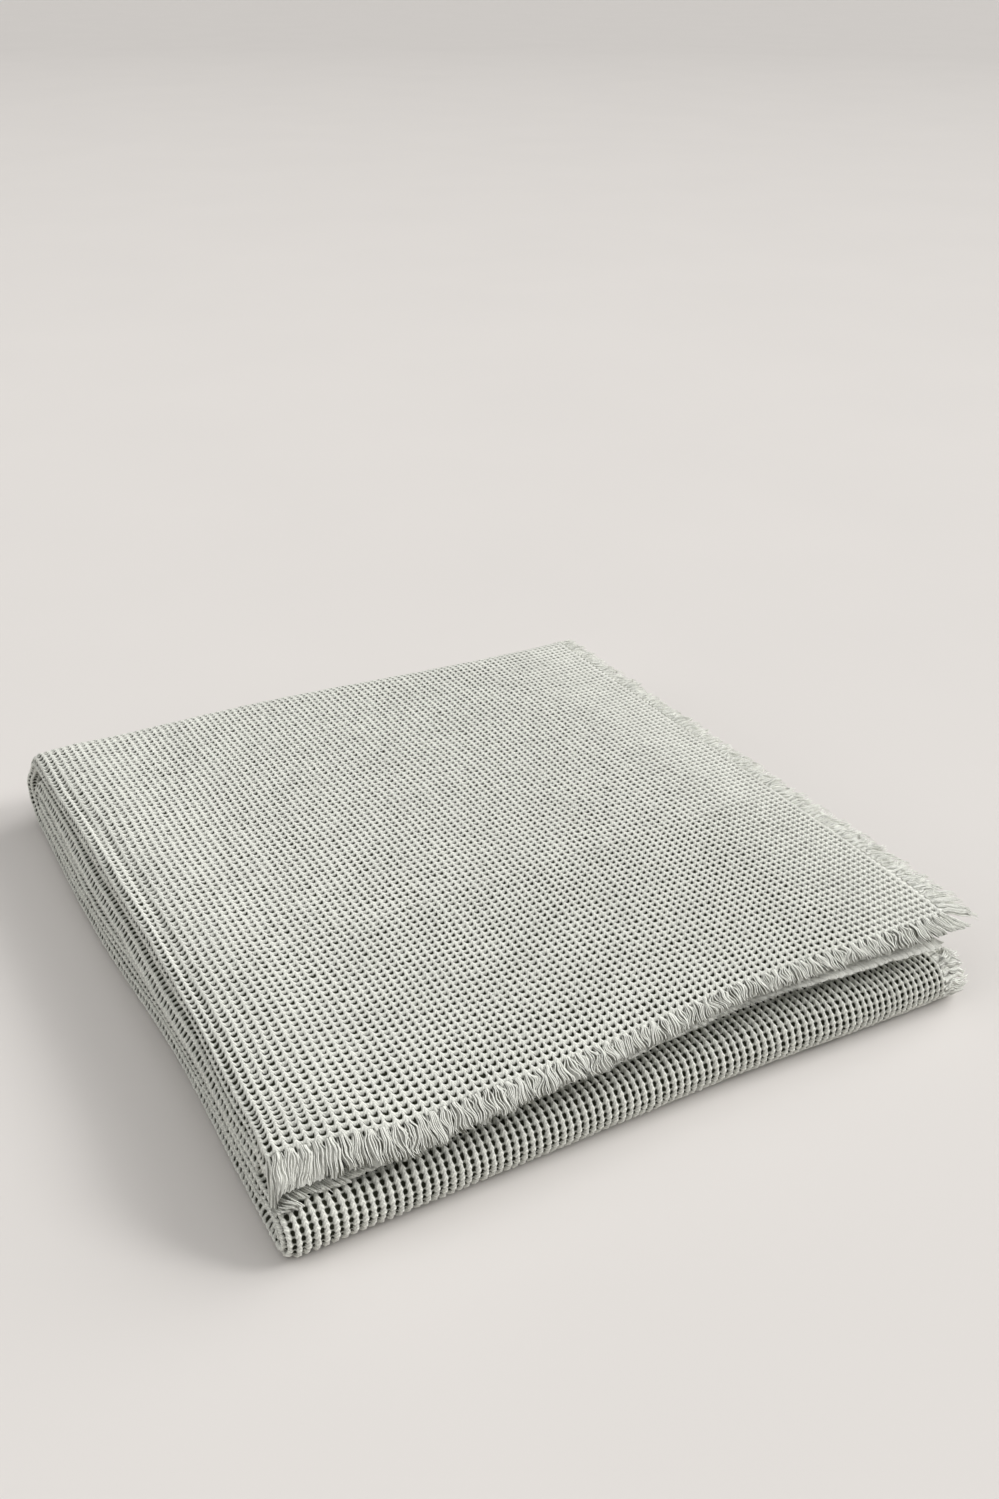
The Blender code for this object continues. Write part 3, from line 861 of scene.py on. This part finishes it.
def ribbons(locks):
    """Each lock as a rounded, ribbed band with a ragged cut: points, faces, flat places and painted shade,
    more than on its strands so that the gaps between them read dark.
    """
    row, chance = locks.row, locks.chance
    lock = np.arange(locks.count)[:, None, None]
    across = np.linspace(-BAND.half, BAND.half, row.columns)
    within = across * locks.width * np.ones((locks.count, 1, 1))
    ragged = 1 + BAND.ragged * chance.normal(0, 1, (locks.count, 1, row.columns))
    share = np.linspace(0, 1, LOCK_RINGS)[None, :, None]
    length = locks.length[lock] * (SIDE_BAND if row.side else 1.0)
    out = length * ragged * share - BAND.root * (1 - share)
    arch = arched(BAND, across)
    rib = np.where(np.arange(row.columns) % 2, *RIB_HEIGHTS) * chance.uniform(*RIB_RANGE, ragged.shape)
    thin = 1 - smooth(CUT_FROM, 1.0, share)
    sides = []
    for high in ((arch + rib) * thin, (-UNDER[0] * arch - UNDER[1]) * thin):
        run, off = locks.path(lock, within, out, high)
        sides.append((run, np.broadcast_to(out, run.shape), off))
    run, out, off = (np.concatenate([top, under[:, :, ::-1]], axis=2) for top, under in zip(*sides))
    faces = ring_faces(np.arange(run.size).reshape(run.shape))
    local = np.concatenate([within, within[:, :, ::-1]], axis=2) + locks.centre[lock]
    flat = np.stack(np.broadcast_arrays(local, out), axis=-1)
    shade = locks.dark[lock] * painted_darkness(BAND, np.concatenate([across, across[::-1]]), out) - row.pale
    return locks.points(run, out, off), faces, flat, shade


def strands(locks):
    """Single yarns that lie on the locks and stand a little past their ends, as thin tubes."""
    row, chance = locks.row, locks.chance
    lock = np.repeat(np.arange(locks.count), row.strands)[:, None]
    total = len(lock)
    evenly = np.tile(np.linspace(-STRAND.half, STRAND.half, row.strands), locks.count)[:, None]
    within = (evenly + chance.normal(0, STRAND_PLACE, (total, 1))) * locks.width
    across = within / locks.width
    length = locks.length[lock] * (1.0 + STRAND.ragged * chance.normal(0, 1, (total, 1)))
    share = np.array(STRAND_SHARES)[None, :]
    out = length * share - STRAND.root * (1 - share)
    run, off = locks.path(lock, within, out, arched(STRAND, across))
    stray = chance.normal(0, STRAND_STRAY, (total, 1)) * share ** 2
    run = run + stray
    off = off + STRAND_LIFT * np.abs(stray)
    radius = STRAND_RADIUS * np.array(STRAND_WIDTHS) * chance.uniform(*RADIUS_RANGE, (total, 1))
    turn = 2 * np.pi * np.arange(STRAND_SIDES) / STRAND_SIDES + 0.5
    run_ring = run[:, :, None] + radius[:, :, None] * np.cos(turn)
    off_ring = off[:, :, None] + radius[:, :, None] * np.sin(turn)
    out_ring = np.broadcast_to(out[:, :, None], run_ring.shape)
    faces = ring_faces(np.arange(run_ring.size).reshape(run_ring.shape))
    flat = np.stack([run_ring, out_ring], axis=-1)
    dark = painted_darkness(STRAND, across[:, :, None], out_ring) + STRAND_CHANCE * chance.random((total, 1, 1))
    shade = locks.dark[lock][:, :, None] * dark - row.pale
    return locks.points(run_ring, out_ring, off_ring), faces, flat, shade


def fringe_row(row, material):
    locks = Locks(row)
    points, faces, flat, shade = [], [], [], []
    before = 0
    for part in (ribbons(locks), strands(locks)):
        points.append(part[0].reshape(-1, 3))
        faces.append(part[1] + before)
        flat.append(part[2].reshape(-1, 2))
        shade.append(np.broadcast_to(part[3], part[0].shape[:-1]).ravel())
        before += len(points[-1])
    piece = mesh_piece(row.piece, np.concatenate(points), np.concatenate(faces),
                       {"cloth": np.concatenate(flat)}, np.concatenate(shade), material)
    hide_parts(row.node)
    return piece


# How far the fringe reaches: distance along its edge, length
UPPER_REACH = ((0.0, 0.0150), (0.06, 0.0125), (0.16, 0.0115),
               (0.30, 0.0130), (0.42, 0.0160), (0.50, 0.0185))
LOWER_REACH = ((0.50, 0.0125), (0.54, 0.0070), (0.58, 0.0040),
               (0.84, 0.0050), (0.90, 0.0085), (0.97, 0.0115))
SIDE_REACH = ((0.0, 0.0240), (0.05, 0.0200), (0.20, 0.0165), (0.55, 0.0140), (0.75, 0.0150))
LONG_REACH = ((0.0, 0.0170), (3.0, 0.0170))
ROWS_MEET = ACROSS.start_of("lower") - 0.002  # where the two front rows do
LOWER_END = ACROSS.start_of("tuck fold")
NOSE_PITCH = 0.003  # of the locks around the front fold


def side_row(part, kind, stretch, *columns):
    """A row of fringe on the right side, along one stretch of the leaf's path."""
    return FringeRow(f"side_fringe_{part}_strands", f"side_fringe_{part}_{kind}", True,
                     *ALONG.ends[stretch:stretch + 2], *columns)


FRINGE_ROWS = (
    FringeRow("front_fringe_upper_strands", "front_fringe_upper", False,
              0.0, ROWS_MEET, 0.0070, 8, 7, UPPER_REACH, 0.0, 0.68, 0.0, 0.8),
    FringeRow("front_fringe_lower_strands", "front_fringe_lower", False,
              ROWS_MEET, LOWER_END, 0.0062, 6, 9, LOWER_REACH, 0.0, 0.08, 0.25, 0.15),
    side_row("top", "leaf", 0, ROW, 6, 9, SIDE_REACH, 0.002, 0.08, 0.20, 1.0),
    side_row("back", "fold", 1, ROW, 6, 8, SIDE_REACH, 0.0, 0.08, 0.20, 1.0),
    side_row("bottom", "leaf", 2, ROW, 4, 2, LONG_REACH, 0.0, 0.15, 0.0, 1.0),
    side_row("front", "fold", 3, NOSE_PITCH, 6, 8, LONG_REACH, 0.0, 0.12, 0.10, 1.0),
    side_row("third", "leaf", 4, ROW, 4, 2, LONG_REACH, 0.003, 0.15, 0.0, 1.0),
    side_row("second", "leaf", 6, ROW, 4, 2, LONG_REACH, 0.003, 0.15, 0.0, 1.0),
)


# -------- room

CAMERA_PLACE = (-0.443, -0.851135, 0.66323)
CAMERA_PITCH = 0.503603
CAMERA_YAW = 0.527460
CAMERA_ROLL = 0.008033
PHOTO_SIDE = 1499  # pixels on the photograph's long side
FOCAL_PIXELS = 1501.15
SENSOR = 36.0

Light = namedtuple("Light", "name x y z spread energy")  # where it comes from, spread in degrees
LIGHTS = (
    Light("key_light", 0.716, -0.415, 0.559, 18, 1.15),
    Light("right_light", 0.80, 0.04, 0.57, 50, 1.54),
    Light("overhead_light", 0.0, 0.0, 1.0, 60, 0.82),
    Light("left_light", -0.80, 0.10, 0.60, 60, 0.84),
    Light("front_light", 0.30, -0.85, 0.80, 70, 0.58),
)
SUN_COLOUR = (1.0, 0.99, 0.975)
SURROUND = 0.02
SURROUND_COLOUR = (1.0, 0.985, 0.97, 1)
FLOOR_REACH = 40.0
FLOOR_TONES = ((0.715, 0.690, 0.669), (0.743, 0.716, 0.694))
FLOOR_FALL = (1.5, 9.0, 1.0, 0.82)  # the distances between which it gets darker, a painted falloff of the light, and by what share


def camera():
    """The photograph's viewpoint, as read from the lattice of the weave."""
    sin_yaw, cos_yaw = math.sin(CAMERA_YAW), math.cos(CAMERA_YAW)
    sin_pitch, cos_pitch = math.sin(CAMERA_PITCH), math.cos(CAMERA_PITCH)
    ahead = Vector((sin_yaw * cos_pitch, cos_yaw * cos_pitch, -sin_pitch))
    level = Vector((cos_yaw, -sin_yaw, 0))
    raised = Vector((sin_yaw * sin_pitch, cos_yaw * sin_pitch, cos_pitch))
    right = math.cos(CAMERA_ROLL) * level + math.sin(CAMERA_ROLL) * raised
    up = math.cos(CAMERA_ROLL) * raised - math.sin(CAMERA_ROLL) * level
    lens = bpy.data.cameras.new("camera")
    lens.sensor_width = SENSOR
    lens.lens = SENSOR * FOCAL_PIXELS / PHOTO_SIDE
    eye = bpy.data.objects.new("camera", lens)
    eye.matrix_world = Matrix.Translation(CAMERA_PLACE) @ Matrix((right, up, -ahead)).transposed().to_4x4()
    bpy.context.scene.collection.objects.link(eye)
    bpy.context.scene.camera = eye


def room():
    """A pale seamless floor, darker far off in a painted falloff of light, soft lights and an even dim
    surround.
    """
    paper = Shading("floor_paper", roughness=0.8, specular=0.2, sheen=0.0)
    where = paper.add("TexCoord", {}, "Object")
    grain = paper.add("TexNoise", {"Vector": where, "Scale": 3.0}, "Fac")
    far = paper.add("VectorMath", {0: where}, "Value", operation="LENGTH")
    paper.set_colour(paper.mix(grain, *FLOOR_TONES), paper.ramp(far, *FLOOR_FALL, curve="LINEAR"))
    mesh = bpy.data.meshes.new("floor")
    corners = [(x * FLOOR_REACH, y * FLOOR_REACH, 0) for x, y in ((-1, -1), (1, -1), (1, 1), (-1, 1))]
    mesh.from_pydata(corners, [], [(0, 1, 2, 3)])
    mesh.materials.append(paper.material)
    floor = bpy.data.objects.new("floor", mesh)
    bpy.context.scene.collection.objects.link(floor)

    for light in LIGHTS:
        sun = bpy.data.lights.new(light.name, "SUN")
        sun.angle = math.radians(light.spread)
        sun.energy = light.energy
        sun.color = SUN_COLOUR
        stand = bpy.data.objects.new(light.name, sun)
        stand.rotation_euler = Vector((light.x, light.y, light.z)).to_track_quat("Z", "Y").to_euler()
        bpy.context.scene.collection.objects.link(stand)
    world = bpy.data.worlds.new("surround")
    world.use_nodes = True
    surround = world.node_tree.nodes["Background"]
    surround.inputs["Color"].default_value = SURROUND_COLOUR
    surround.inputs["Strength"].default_value = SURROUND
    bpy.context.scene.world = world
    bpy.context.scene.view_settings.view_transform = "Standard"


def main():
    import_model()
    camera()
    room()
    cloth = waffle_cotton()
    ends = fringe_cotton()

    by_left = ACROSS.cells_to("left fold") - PAST_FOLD
    round_left = ACROSS.cells_to("lower") + PAST_FOLD
    tuck = ACROSS.cells_to("tuck fold") - PAST_TUCK
    tuck_end = ACROSS.cells_to("tucked") + PAST_TUCK
    back = ALONG.cells_to("back fold")
    under = ALONG.cells_to("leaf 4")
    front = ALONG.cells_to("front fold") - PAST_FOLD
    third = ALONG.cells_to("leaf 3") + PAST_FRONT
    end = ALONG.cells[-1]
    skins = [
        weave("weave_top_front", (EDGE_CELL, round_left), (0, FINE_ROWS), FINE, cloth),
        weave("weave_top_back", (EDGE_CELL, round_left), (FINE_ROWS, back), PLAIN, cloth),
        weave("weave_back_fold", (EDGE_CELL, round_left), (back, under), PLAIN, cloth),
        weave("weave_underside", (EDGE_CELL, by_left), (under, front), RIBS, cloth),
        weave("weave_left_bottom", (by_left, round_left), (under, front), PLAIN, cloth),
        weave("weave_front_fold", (EDGE_CELL, round_left), (front, third), FINE, cloth),
        weave("weave_left_middle", (by_left, round_left), (third, end), PLAIN, cloth),
        weave("weave_tuck_fold", (tuck, tuck_end), (0, end), LOW, cloth),
    ]
    sheet = thin_sheet(cloth)
    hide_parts("blanket_cloth")
    fringes = [fringe_row(row, ends) for row in FRINGE_ROWS]


main()
